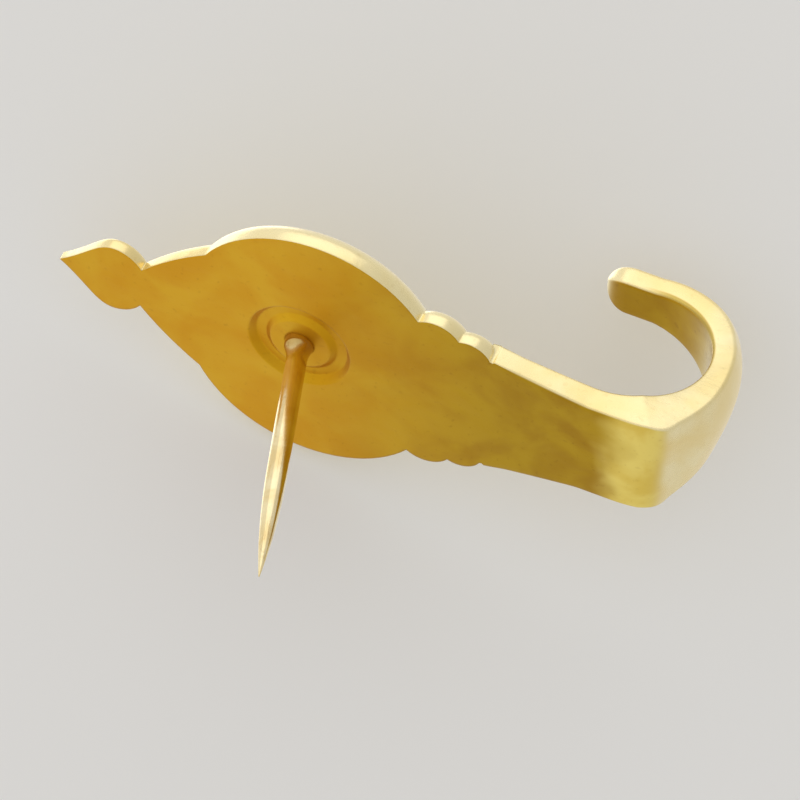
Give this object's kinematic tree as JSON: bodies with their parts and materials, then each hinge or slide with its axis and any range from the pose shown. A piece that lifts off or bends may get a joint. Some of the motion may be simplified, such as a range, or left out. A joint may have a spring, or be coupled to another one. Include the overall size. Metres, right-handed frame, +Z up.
{
  "type": "pin hook",
  "caption": "Cast gilt picture hook with a flat back, a domed ornament with a leaf tip, a J-shaped hook and a steel pin that pushes into the wall.",
  "frame": {"origin": "where the pin's axis meets the flat back that rests on the wall", "axes": "+Z up along the body towards the leaf tip, +Y into the wall, +X across the body; the hook opens upwards on the -Y side"},
  "size_m": [0.0148, 0.0235, 0.0319],
  "materials": {
    "gilt_body": "bright gilt plating over a casting, satin on the flat back",
    "gilt_pin": "bright gilt plating over drawn steel wire"
  },
  "bodies": {
    "root": {"hook_body": "gilt_body", "wall_pin": "gilt_pin"}
  },
  "joints": []
}
